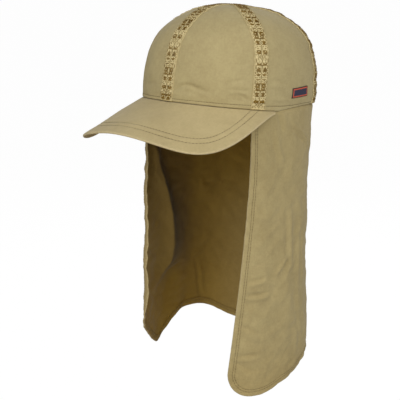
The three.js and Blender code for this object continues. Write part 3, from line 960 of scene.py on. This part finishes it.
def label_material():
    """Two woven bands inside a near-black painted shadow, told apart by their distance in from the label's
    edge.
    """
    material, tree = new_material("label_weave")
    link = tree.links.new
    place = add_node(tree, "ShaderNodeUVMap", uv_map="cloth")
    inward = add_node(tree, "ShaderNodeAttribute", attribute_name="inward")
    noise = add_node(tree, "ShaderNodeTexNoise")
    noise.inputs["Scale"].default_value = 900
    noise.inputs["Detail"].default_value = 3
    link(place.outputs[0], noise.inputs["Vector"])

    def past(distance):
        step = add_node(tree, "ShaderNodeMapRange")
        step.inputs["From Min"].default_value = distance - 0.12
        step.inputs["From Max"].default_value = distance + 0.12
        link(inward.outputs["Fac"], step.inputs["Value"])
        return step.outputs[0]

    # Painted shadow: a near-black band round the raised label's edge.
    painted_edge_shadow = add_node(tree, "ShaderNodeRGB")
    painted_edge_shadow.outputs[0].default_value = (0.035, 0.024, 0.022, 1)
    colour = painted_edge_shadow.outputs[0]
    for start, band in ((0.8, (0.6, 0.11, 0.055)), (2.1, (0.04, 0.038, 0.07))):
        mix = add_node(tree, "ShaderNodeMix", data_type="RGBA")
        mix.inputs[7].default_value = (*band, 1)
        link(past(start), mix.inputs["Factor"])
        link(colour, mix.inputs[6])
        colour = mix.outputs[2]
    lift = add_node(tree, "ShaderNodeMix", data_type="RGBA", blend_type="MULTIPLY")
    lift.inputs["Factor"].default_value = 0.6
    spread = add_node(tree, "ShaderNodeMapRange")
    spread.inputs["From Min"].default_value = 0.25
    spread.inputs["From Max"].default_value = 0.75
    spread.inputs["To Min"].default_value = 0.5
    spread.inputs["To Max"].default_value = 1.3
    link(noise.outputs["Fac"], spread.inputs["Value"])
    link(colour, lift.inputs[6])
    link(spread.outputs[0], lift.inputs[7])
    bump = add_node(tree, "ShaderNodeBump")
    bump.inputs["Strength"].default_value = 0.5
    bump.inputs["Distance"].default_value = 0.0002
    link(noise.outputs["Fac"], bump.inputs["Height"])
    paint = add_node(tree, "ShaderNodeBsdfPrincipled")
    paint.inputs["Roughness"].default_value = 0.6
    paint.inputs["Specular IOR Level"].default_value = 0.4
    out = add_node(tree, "ShaderNodeOutputMaterial")
    link(lift.outputs[2], paint.inputs["Base Color"])
    link(bump.outputs[0], paint.inputs["Normal"])
    link(paint.outputs[0], out.inputs["Surface"])
    return material


label = make_label()
label.data.materials.append(label_material())

# Peak
# A stiff board between two layers of the crown's twill, with its outer edge turned and pressed
# and two rows of topstitching inside it. Its inner edge is caught under the crown's lower edge.
peak_end_angle = 84
peak_length = 74.5
peak_flare = 29.3
peak_roundness = 2.11
peak_drop = 23
peak_arch = 15.4
peak_lean = math.radians(0.9)
peak_thickness = 2.6
peak_inset = 0.9 * crown_cloth
peak_end_share = 0.97
peak_stitch_lines = (14.8, 22.4)

# How worn-in handling has bent the board at its outer edge: share, half width, millimetres upwards
peak_set = [(-0.66, 0.24, -10.9), (-0.14, 0.1, -0.9), (0.25, 0.22, 2.8), (0.62, 0.22, 2.1)]


def rim_point(angle, inset, up):
    """A point of the tilted rim, set in by inset and raised or lowered by up."""
    angle, up = np.broadcast_arrays(np.asarray(angle, float), np.asarray(up, float))
    along = np.maximum(up, 0) / meridian_length
    shape = crown_shape(angle, along) - crown_normal(angle, along) * np.asarray(inset, float)[..., None]
    return tilt(shape + np.minimum(up, 0)[..., None] * np.array([0, 0, 1.0]))


def through_rows(rows, column, at):
    """Reads one column of a table at each value of its first column, on a smooth curve."""
    keys, values = rows[:, 0], rows[:, column]
    last = len(keys) - 1
    at = np.asarray(at, float)
    row = np.clip(np.searchsorted(keys, at, side="left") - 1, 0, last - 1)
    span = keys[row + 1] - keys[row]
    t = np.clip((at - keys[row]) / span, 0, 1)

    def slope(index):
        before, after = np.maximum(index - 1, 0), np.minimum(index + 1, last)
        return (values[after] - values[before]) / (keys[after] - keys[before]) * span

    start, end = values[row], values[row + 1]
    bend = (t**3 - 2 * t**2 + t) * slope(row) + (t**3 - t**2) * slope(row + 1)
    return (2 * t**3 - 3 * t**2 + 1) * start + (3 * t**2 - 2 * t**3) * end + bend


def peak_edge(share):
    """Outer edge of the peak, from -1 at the wearer's right end to 1 at the left."""
    turn = np.radians(90 * np.asarray(share, float))
    front = rim_point(0, 0, 0)
    end = rim_point(peak_end_angle, 0, 0)
    across = np.abs(np.sin(turn))
    x = np.sign(share) * end[0] * across ** (2 / peak_roundness) + peak_flare * np.sin(2 * turn)
    y = end[1] - (end[1] - front[1] + peak_length) * np.abs(np.cos(turn)) ** (2 / peak_roundness)
    middle = front[2] - peak_drop
    rise = end[2] - middle
    fall = 2 * peak_arch + 2 * math.sqrt(peak_arch**2 + peak_arch * rise)
    z = middle - fall * across**2 + (rise + fall) * across**4
    return np.stack([x, y, z - x * math.sin(peak_lean) * np.cos(turn)], -1)


def peak_shape(share, out):
    """Top of the board. Its worn bend stays near the edge on the wearer's right and spreads on the left."""
    inner = rim_point(peak_end_angle * share, peak_inset, -seam_gap)
    out = np.asarray(out, float)
    sharpness = 4.5 - 3 * eased(share, -0.2, 0.1)
    bend = sum(lift * np.exp(-(((share - middle) / half) ** 2)) for middle, half, lift in peak_set)
    bend = bend * eased(peak_end_share - np.abs(share), 0, 0.08) * out**sharpness
    return inner + (peak_edge(share) - inner) * out[..., None] + bend[..., None] * np.array([0, 0, 1.0])


def peak_normal(share, out):
    across = peak_shape(share + 0.01, out) - peak_shape(share - 0.01, out)
    outwards = peak_shape(share, np.ones_like(out)) - peak_shape(share, np.zeros_like(out))
    normal = unit(np.cross(outwards, across))
    return normal * np.where(normal[..., 2:] < 0, -1, 1)


def peak_width(share):
    """Distance from the outer edge to the rim, square to the edge, at each share."""
    line = peak_edge(share) - rim_point(peak_end_angle * share, peak_inset, -seam_gap)
    tangent = unit(peak_edge(share + 0.002) - peak_edge(share - 0.002))
    return np.linalg.norm(np.cross(line, tangent), axis=-1)


def make_peak():
    crowding = 0.86
    turn = np.linspace(math.pi / 2, -math.pi / 2, 321) * crowding
    share = peak_end_share * np.sin(turn) / math.sin(crowding * math.pi / 2)
    width = peak_width(share)
    first, second = peak_stitch_lines
    near = [0, 0.06, 0.18, 0.36, 0.6, 0.9, 1.3, 1.8, 2.6, 4, 5.6, 7.4, 9.4, 11.4, 13, first - 0.8]
    near += [first - 0.4, first, first + 0.4, first + 0.8, 17.2, 18.6, 20.2]
    near += [second - 0.8, second - 0.4, second, second + 0.4, second + 0.8, 24.5]
    inward = grown_steps(near, width.max(), 1.6)[:, None]
    kept = np.minimum(near[-1], 0.8 * width)[None, :]
    pressed = kept + (inward - kept) * (width - kept) / (width.max() - kept)
    inward = np.where(inward <= kept, inward, pressed)
    out = np.clip(1 - inward / width, 0, 1)
    share = np.broadcast_to(share, out.shape)
    base = peak_shape(share, out)
    normal = peak_normal(share, out)
    grooves = sum(np.exp(-(((inward - line) / 0.45) ** 2)) for line in peak_stitch_lines)
    run = share * 190
    sewn_zone = np.exp(-(((inward - 18.6) / 6) ** 2))
    relief = 0.14 * sewn_zone * soft_waves(run, inward, 7, 41) - 0.28 * grooves
    middle = np.clip(out * 3, 0, 1) * np.clip(inward / 6, 0, 1)
    relief = relief + 0.22 * soft_waves(base[..., 0], base[..., 1], 38, 42) * middle
    full = rounded(inward, 1.3, 0.12)
    top = base + normal * (relief - peak_thickness / 2 * (1 - full))[..., None]
    by_rim = np.clip(1 - (width - inward) / 4, 0, 1)[..., None]
    down = unit(normal * (1 - by_rim) + np.array([0, 0, 1.0]) * by_rim)
    under = base - down * (peak_thickness / 2 * (1 + full) - 0.25 * grooves - relief * 0.3)[..., None]
    flat = base[..., :2]
    edge = np.exp(-inward / 1.1)
    # Painted shade: the stitch grooves are darkened, and the underside is tinted darker and browner.
    marks = {"painted_shade": (grooves, grooves * 0.7), "worn_edge": (edge, edge), "painted_shade_tint": (0, 0.6)}
    piece = closed_shell("peak_cloth", top, under, flat, marks)
    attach(piece, "root")
    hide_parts("peak")
    return piece


def peak_lines(side):
    """The peak's stitch lines on its top, or on its underside."""
    lines = []
    for distance in peak_stitch_lines:
        share = np.linspace(-0.96, 0.96, 900)
        width = peak_width(share)
        share = share[width > distance + 1.2]
        out = 1 - distance / peak_width(share)
        normal = peak_normal(share, out)
        lift = -0.2 if side > 0 else -peak_thickness + 0.2
        lines.append((peak_shape(share, out) + normal * lift, normal * side))
    return lines


peak = make_peak()
# The crown's twill, made lighter here as painted light on the peak's upward face.
peak_twill_painted_light = twill_material("peak_twill_painted_light", (0.54, 0.434, 0.218), (0.46, 0.363, 0.176), (0.62, 0.515, 0.3))
peak.data.materials.append(peak_twill_painted_light)
twill_thread = yarn_material("twill_thread", (0.15, 0.108, 0.04), (0.27, 0.205, 0.09))
peak_stitches = sewn("peak_stitches", peak_lines(1), 3.4, 1.9, 0.55, 0.42)
under_stitches = sewn("peak_under_stitches", peak_lines(-1), 3.4, 1.9, 0.55, 0.42)
for threads in (peak_stitches, under_stitches):
    threads.data.materials.append(twill_thread)
    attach(threads, "root")

# Neck flap
# One wide piece of single twill, cut with rounded lower corners, its top edge sewn inside the
# crown's lower edge from one temple round the back to the other. A double 8 mm hem, sewn with two
# rows, runs down both front edges and along the bottom. It hangs in soft folds.
flap_cloth = 1.2
flap_drop = 304
flap_tuck = 6
flap_inset = crown_cloth + 0.5
flap_emerge = 4.5
flap_settles = 25
hem_width = 8
hem_thickness = 2.2
corner_radius = 26
hem_stitch_lines = (5.2, 7.6)

# Sections of the hanging cloth: share of the drop, then its width, front and back reach as shares
# of the rim's, and the angle of its front edges
flap_sections = np.array([
    (0.0, 1.0, 1.0, 1.0, 62.0),
    (0.25, 1.055, 0.96, 0.935, 57.5),
    (0.5, 1.1, 0.93, 0.87, 51.5),
    (0.75, 1.145, 0.92, 0.82, 44.5),
    (1.0, 1.175, 0.925, 0.79, 38.0),
])

# Height of the lower edge round the head: angle, then shares of the drop on the left and the right
hem_line = np.array([
    (38, 1.0, 0.84), (50, 1.0, 0.89), (62, 1.0, 0.94), (72, 0.99, 0.98), (81, 0.975, 1.0), (90, 0.965, 0.955),
    (98, 0.95, 0.91), (106, 0.935, 0.89), (118, 0.915, 0.885), (130, 0.915, 0.895), (146, 0.93, 0.925),
    (180, 0.96, 0.96),
])

# Soft hanging folds: angle, half angle, shares of the drop from and to, and depth outwards
flap_folds = [
    (96, 7, 0.0, 0.35, 0.02),
    (112, 10, 0.05, 1.2, 0.022),
    (138, 9, 0.2, 1.2, 0.03),
    (165, 10, 0.3, 1.2, 0.03),
    (-100, 9, 0.2, 1.2, -0.035),
    (-128, 8, 0.35, 1.2, 0.04),
    (-152, 10, 0.3, 1.2, -0.03),
]


def flap_angle(around, down):
    """Angle of a point of the flap. Around runs from 0 at the left front edge to 1 at the right."""
    edge = through_rows(flap_sections, 4, down)
    return edge + (360 - 2 * edge) * around


def hem_share(angle):
    """Share of the drop that the lower edge reaches at an angle."""
    left = through_rows(hem_line, 1, angle)
    right = through_rows(hem_line, 2, 360 - angle)
    return np.where(angle <= 180, left, right)


def flap_shape(around, down):
    """Outside of the smoothly hanging cloth. Down is the share of the drop."""
    angle = flap_angle(around, down)
    tucked = np.maximum(0, 1 - down * flap_drop / flap_emerge) ** 2
    level = rim_point(angle, flap_inset * tucked, 0)
    raised = rim_point(angle, flap_inset * tucked, rim_rise(angle))
    top = level + (raised - level) * np.exp(-down * flap_drop / flap_settles)[..., None]
    x = top[..., 0] * through_rows(flap_sections, 1, down)
    front = through_rows(flap_sections, 2, down)
    back = through_rows(flap_sections, 3, down)
    y = top[..., 1] * np.where(top[..., 1] < 0, front, back)
    fold = 0
    for middle, half, start, stop, depth in flap_folds:
        halfway = (start + stop) / 2
        shown = eased(down, start, halfway) * (1 if stop > 1 else 1 - eased(down, halfway, stop))
        fold = fold + depth * rim_half_width * np.exp(-((apart(angle, middle) / half) ** 2)) * shown
    radius = np.hypot(x, y)
    x, y = x * (radius + fold) / radius, y * (radius + fold) / radius
    return np.stack([x, y, raised[..., 2] * (1 - down) - flap_drop * down], -1)


def flap_normal(around, down):
    """Outward direction of the smoothly hanging cloth."""
    step = 0.004
    across = flap_shape(np.minimum(1, around + step), down) - flap_shape(np.maximum(0, around - step), down)
    downwards = flap_shape(around, down + step) - flap_shape(around, down)
    return unit(np.cross(downwards, across))


def section_lengths():
    """Length of the flap from edge to edge at even steps of the drop."""
    downs = np.linspace(0, 1, 41)
    around = np.linspace(0, 1, 181)
    lengths = []
    for down in downs:
        points = flap_shape(around, np.full_like(around, down))
        lengths.append(np.linalg.norm(np.diff(points, axis=0), axis=1).sum())
    return downs, np.array(lengths)


section_downs, section_runs = section_lengths()

# Creases of the hanging cloth: their points as (degrees, height), half width and depth. They are
# drawn in millimetres, at this many to a degree.
flap_degree = 1.5
flap_creases = [
    ([(53, -176), (60, -175), (68, -173)], 1.8, 2.5),
    ([(52, -190), (61, -191), (72, -190)], 1.8, 2.9),
    ([(49, -223), (56, -229), (65, -240)], 2.3, 2.6),
    ([(44, -259), (52, -258), (62, -257)], 1.8, 2.1),
    ([(47, -264), (51, -270), (57, -279)], 2.4, 1.5),
    ([(89, -22), (86, -10), (83, 0)], 3.0, 1.8),
    ([(96, -13), (106, -26), (118, -41)], 2.2, -2.4),
    ([(72, -40), (71, -32), (69, -22)], 3.5, 0.9),
    ([(106, -90), (105, -110), (103, -160), (101, -215)], 4.5, -0.8),
    ([(94, -95), (93, -130), (93, -165), (84, -185)], 3.0, -1.6),
    ([(107, -130), (106, -160), (106, -190)], 3.0, 1.5),
    ([(99, -232), (98, -275)], 4.5, -0.9),
    ([(78, -172), (84, -163), (90, -156)], 2.0, -1.8),
    ([(67, -93), (70, -104)], 2.0, -1.0),
    ([(101, -192), (103, -228), (106, -265)], 3.0, -0.7),
    ([(80, -17), (83, -37), (88, -56)], 3.4, -1.8),
    ([(69, -21), (72, -57)], 2.6, -0.6),
    ([(93, -276), (86, -280)], 1.8, 0.8),
    ([(275, -213), (266, -200)], 2.0, -0.8),
    ([(243, -105), (242, -120)], 2.2, -0.8),
    ([(242, -205), (240, -222), (238, -243), (235, -268)], 2.0, -1.7),
    ([(272, -216), (265, -211), (257, -206)], 2.0, -1.2),
    ([(217, -200), (223, -222), (229, -245)], 2.6, -1.2),
]

# The fold on the wearer's right: its ridge, towards the neck, as (height, degrees, depth)
inner_fold = np.array([
    (-310, 286, 0), (-240, 285, 0.5), (-222, 281, 3.5), (-204, 270, 8), (-186, 267, 10.2), (-150, 269, 11.5),
    (-115, 275, 11), (-85, 283, 9), (-56, 289, 6.5), (-20, 292, 0), (10, 293, 0),
])

# How far the flap stands in or out at its turn behind the wearer's left ear: height, millimetres
flap_side = np.array([
    (-300, 0), (-245, 0.5), (-200, -0.5), (-165, -2), (-130, -1), (-105, -2.5), (-65, -2.5),
    (-40, -0.2), (-20, 0),
])


def fold_depth(angle, height):
    """The inner fold slopes gently towards the front of its ridge and steeply behind it."""
    ridge = through_rows(inner_fold, 1, height)
    depth = through_rows(inner_fold, 2, height)
    off = (angle - ridge) * flap_degree
    before = np.exp(-((np.abs(off) / 20) ** 1.5))
    behind = np.exp(-((np.abs(off) / 12) ** 1.3))
    return depth * np.where(off > 0, before, behind)


def flap_relief(angle, height, inward):
    """Soft waves, creases and the puckers of the hem, outwards from the smoothly hanging cloth."""
    turn = apart(angle, 180) * flap_degree
    grown = np.clip(-height / 60, 0, 1)
    relief = 0.9 * grown * soft_waves(turn, height * 0.45, 52, 51)
    relief = relief + 0.35 * grown * soft_waves(turn, height, 24, 52)
    by_turn = np.exp(-((apart(angle, 130) / 16) ** 2))
    relief = relief + by_turn * through_rows(flap_side, 1, height)
    gathered = np.exp(-np.clip(-height, 0, None) / 9) * (1 - np.exp(-np.clip(-height, 0, None) / 3))
    relief = relief + 0.5 * gathered * soft_waves(turn, height * 0.2, 13, 53)
    by_hem = np.exp(-((inward / 10) ** 2))
    relief = relief + 0.22 * by_hem * soft_waves(turn, height, 8, 54)
    relief = relief + 0.55 * grown * crumple(turn, height, 30, 55)
    for points, half, depth in flap_creases:
        points = [((degrees - 180) * flap_degree, up) for degrees, up in points]
        relief = relief + crease_field(turn, height, points, half, depth)
    return relief - fold_depth(angle, height)


# Length of the flap's side edges, from the squared lower corner to the top
full_rise = 300

# The curl of the right front edge: height, how tightly it turns, and how far the cloth beside it
# swells outwards
curl_width = 7.6
curl_radius = 6.0
front_curl = np.array([
    (-290, 0.2, -1), (-255, 0.7, -1.3), (-210, 0.9, -1), (-192, 0.6, 0.8), (-175, 0.9, 1), (-150, 0.9, 0.5),
    (-105, 0.9, 3.8), (-66, 0.7, 6.5), (-48, 0.4, 7.5), (-20, 0, 3), (0, 0, 0.5),
])


def curled(points, normal, around, height):
    """Curls the last of the cloth at the right front edge in towards the face."""
    from_right = (1 - around) * np.interp(-height / flap_drop, section_downs, section_runs)
    strength = through_rows(front_curl, 1, height)
    proud = through_rows(front_curl, 2, height)
    into = np.clip(curl_width - from_right, 0, curl_width)
    safe = np.maximum(strength, 1e-3)
    turn = into / curl_radius * safe
    forward = unit(np.cross(normal, np.array([0, 0, 1.0])))
    slid = curl_radius / safe * np.sin(turn) - into
    sunk = curl_radius / safe * (1 - np.cos(turn))
    swell = proud * np.exp(-(((from_right - curl_width) / 11) ** 2))
    return points + forward * slid[..., None] + normal * (swell - sunk)[..., None]


def flap_place(from_edge, share, rise, side):
    """Around and down of places on the cut cloth. Side is -1 or 1 within a corner's width of the left
    or right front edge, where from_edge counts, and 0 between them, where share does. Rise is the
    height above the squared lower edge; lines along the hem turn the rounded corners."""
    a = corner_radius - from_edge
    b = corner_radius - rise
    turned = (side != 0) & (a > 0) & (b > 0)
    pull = np.maximum(a, b) / np.maximum(np.hypot(a, b), 1e-9)
    across = np.where(turned, corner_radius - a * pull, from_edge)
    up = np.where(turned, corner_radius - b * pull, rise)

    def around_on(run):
        between = (corner_radius + share * (run - 2 * corner_radius)) / run
        return np.where(side == 0, between, np.where(side > 0, 1 - across / run, across / run))

    lowest = hem_share(flap_angle(around_on(section_runs[-1]), np.float64(1)))
    above = (rise - corner_radius) / (full_rise - corner_radius)
    higher = corner_radius + above * (lowest * flap_drop - corner_radius)
    down = np.maximum(lowest - np.where(rise > corner_radius, higher, up) / flap_drop, 0)
    return around_on(np.interp(down, section_downs, section_runs)), down


def make_flap():
    edge = [0, 0.08, 0.22, 0.45, 0.8, 1.4, 2.2, 3.2, 4.1, 4.75, 5.2, 5.65, 6.4, 7.15, 7.6, 8.05, 8.5, 9.1]
    edge = np.array(edge + [10.2, 12, 14, 16.5, 19, 21.5, 24, corner_radius])
    between = np.linspace(0, 1, 190)[1:-1]
    rise = np.concatenate([edge, np.linspace(corner_radius, full_rise, 128)[1:]])[:, None]
    from_edge = np.concatenate([edge, np.full(len(between), corner_radius), edge[::-1]])[None, :]
    share = np.concatenate([edge * 0, between, edge * 0])[None, :]
    side = np.concatenate([edge * 0 - 1, between * 0, edge * 0 + 1])[None, :]
    around, down = flap_place(from_edge, share, rise, side)
    inward = np.minimum(np.where(side == 0, 99, from_edge), rise)
    angle = flap_angle(around, down)
    base = flap_shape(around, down)
    normal = flap_normal(around, down)
    grooves = sum(np.exp(-(((inward - line) / 0.32) ** 2)) for line in hem_stitch_lines)
    relief = flap_relief(angle, base[..., 2], inward) - 0.25 * grooves
    base = curled(base, normal, around, base[..., 2])
    full = rounded(inward, 1.1, 0.12)
    hemmed = 1 / (1 + np.exp((inward - hem_width - 0.45) / 0.12))
    thickness = flap_cloth + (hem_thickness - flap_cloth) * hemmed
    outside = base + normal * (relief - thickness / 2 * (1 - full))[..., None]
    inside = base + normal * (relief + 0.25 * grooves - thickness / 2 * (1 + full) + 0.2 * grooves)[..., None]
    tucks = []
    for height in (2, 4, flap_tuck):
        top = rim_rise(angle[-1]) + height
        tucks.append([rim_point(angle[-1], flap_inset + extra, top) for extra in (0, flap_cloth)])
    outside = np.concatenate([outside, [out for out, _ in tucks]])
    inside = np.concatenate([inside, [into for _, into in tucks]])
    flat = np.stack([around * np.interp(down, section_downs, section_runs), base[..., 2]], -1)
    flat = np.concatenate([flat, flat[-1:] + [0, 2], flat[-1:] + [0, 4], flat[-1:] + [0, 6]])
    worn = np.exp(-inward / 0.9)
    raw = np.zeros((3, inward.shape[1]))

    # Painted light and shade: painted shade behind the inner fold and on the hem's stitch rows and edge,
    # painted light inside the back and before the fold, painted shade outside at the right front edge and low
    behind = (through_rows(inner_fold, 1, base[..., 2]) - angle) * flap_degree
    painted_fold_shade = np.where(behind > 0, np.exp(-np.abs(behind) / 26), np.exp(-((behind / 1.5) ** 2)))
    painted_fold_shade = 2.8 * painted_fold_shade * through_rows(inner_fold, 2, base[..., 2]) / inner_fold[:, 2].max()
    painted_back_light = np.exp(-((apart(angle, 200) / 26) ** 2)) * eased(-base[..., 2], 60, 170)
    painted_strip_light = 0.22 * (behind < 0) * eased(base[..., 2], -230, -190)
    painted_outside_shade = 0.4 * np.exp(-((from_edge / 10) ** 2)) * (side > 0)
    painted_outside_shade = painted_outside_shade + 0.2 * eased(-base[..., 2], 240, 300)
    painted_hem_shade = grooves * 0.9 + 0.5 * np.exp(-(((inward - 8.6) / 0.5) ** 2))
    marks = {
        "painted_shade": (np.concatenate([painted_hem_shade + painted_fold_shade, raw]), np.concatenate([grooves, raw])),
        "worn_edge": (np.concatenate([worn, raw]), np.concatenate([worn, raw])),
        "painted_shade_tint": (np.concatenate([1 - 0.35 * painted_back_light - painted_strip_light, 1 + raw]), np.concatenate([painted_outside_shade, raw])),
    }
    piece = closed_shell("flap_cloth", inside, outside, flat, marks)
    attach(piece, "root")
    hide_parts("neck_flap")
    return piece


def hem_lines(side):
    """The two stitch rows of the hem, on the outside of the cloth or the inside."""
    lines = []
    for distance in hem_stitch_lines:
        edge = np.linspace(full_rise - 4, distance, 260)
        corner = np.linspace(distance, corner_radius, 60)[1:]
        bottom = np.linspace(0, 1, 500)[1:-1]
        along_edge = np.full_like(edge, distance)
        along_corner = np.full_like(corner, distance)
        along_bottom = np.full_like(bottom, distance)
        nothing = np.zeros(len(edge) + len(corner))
        from_edge = np.concatenate([along_edge, corner, bottom * 0, corner[::-1], along_edge])
        rise = np.concatenate([edge, along_corner, along_bottom, along_corner, edge[::-1]])
        part = np.concatenate([nothing - 1, bottom * 0, nothing + 1])
        share = np.concatenate([nothing, bottom, nothing])
        around, down = flap_place(from_edge, share, rise, part)
        base = flap_shape(around, down)
        normal = flap_normal(around, down)
        relief = flap_relief(flap_angle(around, down), base[..., 2], np.full_like(down, distance))
        lift = relief - 0.17 if side > 0 else relief - hem_thickness + 0.13
        base = curled(base, normal, around, base[..., 2])
        lines.append((base + normal * lift[..., None], normal * side))
    return lines


flap = make_flap()
# The crown's twill, made a little darker and browner here as painted shade on the hanging cloth.
flap_painted_shade_colours = ((0.44, 0.35, 0.163), (0.364, 0.281, 0.124), (0.525, 0.427, 0.229))
flap.data.materials.append(twill_material("flap_twill_painted_shade", *flap_painted_shade_colours))
hem_stitches = sewn("hem_stitches", hem_lines(1), 3.2, 2.0, 0.48, 0.38)
hem_under_stitches = sewn("hem_under_stitches", hem_lines(-1), 3.2, 2.0, 0.48, 0.38)
for threads in (hem_stitches, hem_under_stitches):
    threads.data.materials.append(twill_thread)
    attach(threads, "root")

# Rim topstitching
# One row of thread runs round the crown just above its lower edge, and holds the peak's inner edge
# and the flap's top edge under it.


def rim_line():
    """Points of the row round the lower edge, and their outward directions."""
    angle = np.linspace(0.5, 359.5, 1400)
    along = up_the_crown(angle, rim_stitch_height)
    relief = crown_relief(angle, along)
    low = crown_point(angle, along, relief - 0.22)
    high = crown_point(angle, along, relief + 0.78)
    return low, high - low


rim_stitches = sewn("rim_stitches", [rim_line()], 3.0, 2.2, 0.48, 0.38)
rim_stitches.data.materials.append(twill_thread)
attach(rim_stitches, "root")
